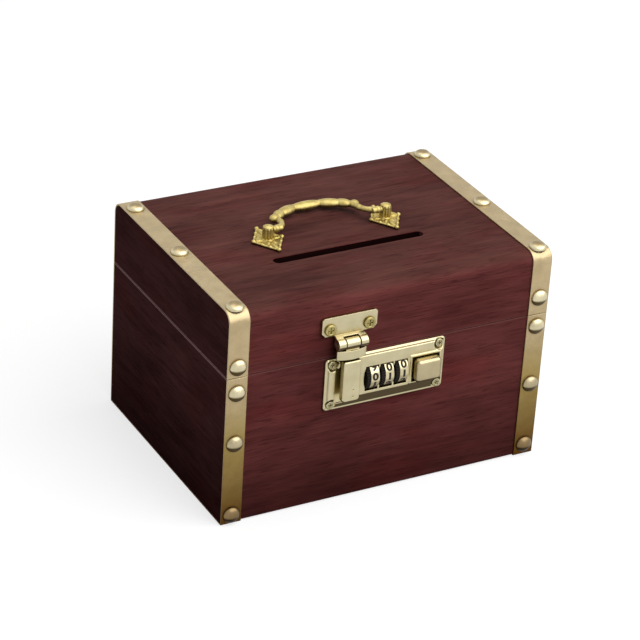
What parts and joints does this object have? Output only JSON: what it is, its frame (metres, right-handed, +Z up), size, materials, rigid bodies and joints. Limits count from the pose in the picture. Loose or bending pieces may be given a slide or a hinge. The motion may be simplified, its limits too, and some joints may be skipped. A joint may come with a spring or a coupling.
{
  "type": "money box",
  "caption": "Wooden money box with a hinged lid, coin slot, brass corner straps, swing handle and a combination lock that holds its hasp.",
  "frame": {"origin": "middle of the whole outline, lock and hinges included, on the surface that the box stands on", "axes": "+X to the right along the front, +Y to the hinges at the back, +Z up"},
  "size_m": [0.145, 0.1145, 0.1018],
  "materials": {
    "case_wood": "satin mahogany-red lacquer, fine grain along the front",
    "lid_wood": "satin mahogany-red lacquer, fine grain along the front",
    "strap_brass": "thin satin sheet",
    "stud_brass": "polished",
    "lock_brass": "polished, pale",
    "dial_brass": "polished faces, dark knurled rims, dark digits",
    "screw_brass": "polished",
    "cast_gold": "cast, bright yellow",
    "hinge_brass": "satin",
    "inner_steel": "zinc-plated"
  },
  "bodies": {
    "base": {"base_front": "case_wood", "base_back": "case_wood", "base_left": "case_wood", "base_right": "case_wood", "base_floor": "case_wood", "base_strap_left": "strap_brass", "base_strap_right": "strap_brass", "base_studs": "stud_brass", "hinge_base_leaf_left": "hinge_brass", "hinge_base_leaf_right": "hinge_brass", "hinge_pin_left": "hinge_brass", "hinge_pin_right": "hinge_brass", "hinge_base_screws": "screw_brass", "lock_face_plate": "lock_brass", "lock_back_cover": "inner_steel", "lock_plate_screws": "screw_brass", "detent_spring": "inner_steel", "button_springs": "inner_steel", "bolt_spring": "inner_steel"},
    "lid": {"lid_top": "lid_wood", "lid_front": "case_wood", "lid_back": "case_wood", "lid_left": "case_wood", "lid_right": "case_wood", "lid_strap_left": "strap_brass", "lid_strap_right": "strap_brass", "lid_studs": "stud_brass", "hinge_lid_leaf_left": "hinge_brass", "hinge_lid_leaf_right": "hinge_brass", "hinge_lid_screws": "screw_brass", "hasp_plate": "lock_brass", "hasp_screws": "screw_brass", "hasp_pin": "lock_brass", "handle_post_left": "cast_gold", "handle_post_right": "cast_gold", "handle_screws": "inner_steel"},
    "hasp": {"hasp_tongue": "lock_brass", "hasp_staple": "inner_steel"},
    "bail": {"bail": "cast_gold"},
    "first_dial": {"dial_1": "dial_brass", "code_sleeve_1": "inner_steel"},
    "second_dial": {"dial_2": "dial_brass", "code_sleeve_2": "inner_steel"},
    "third_dial": {"dial_3": "dial_brass", "code_sleeve_3": "inner_steel"},
    "push_button": {"push_button": "lock_brass"},
    "latch_bolt": {"latch_bolt": "inner_steel"}
  },
  "joints": [
    {"name": "lid_hinge", "type": "hinge", "parent": "base", "child": "lid", "pos_m": [0, 0.05575, 0.0665], "axis": [-1, 0, 0], "range_deg": [0, 105]},
    {"name": "hasp_hinge", "type": "hinge", "parent": "lid", "child": "hasp", "pos_m": [-0.0203, -0.05465, 0.0738], "axis": [-1, 0, 0], "range_deg": [0, 150]},
    {"name": "bail_swing", "type": "hinge", "parent": "lid", "child": "bail", "pos_m": [-0.0038, -0.00075, 0.0994], "axis": [1, 0, 0], "range_deg": [0, 196]},
    {"name": "first_dial_turn", "type": "hinge", "parent": "base", "child": "first_dial", "pos_m": [-0.00905, -0.04855, 0.0545], "axis": [1, 0, 0], "continuous": true},
    {"name": "second_dial_turn", "type": "hinge", "parent": "base", "child": "second_dial", "pos_m": [-0.0025, -0.04855, 0.0545], "axis": [1, 0, 0], "continuous": true},
    {"name": "third_dial_turn", "type": "hinge", "parent": "base", "child": "third_dial", "pos_m": [0.00405, -0.04855, 0.0545], "axis": [1, 0, 0], "continuous": true},
    {"name": "button_press", "type": "slide", "parent": "base", "child": "push_button", "axis": [0, 1, 0], "range_m": [0, 0.0028], "stiffness_N_per_m": 400, "springref_m": -0.0015, "deforming": ["button_springs"]},
    {"name": "bolt_draw", "type": "slide", "parent": "base", "child": "latch_bolt", "axis": [1, 0, 0], "range_m": [0, 0.0028], "deforming": ["bolt_spring"]}
  ],
  "couplings": [
    {"joint": "bolt_draw", "follows": "button_press", "ratio": 1}
  ]
}
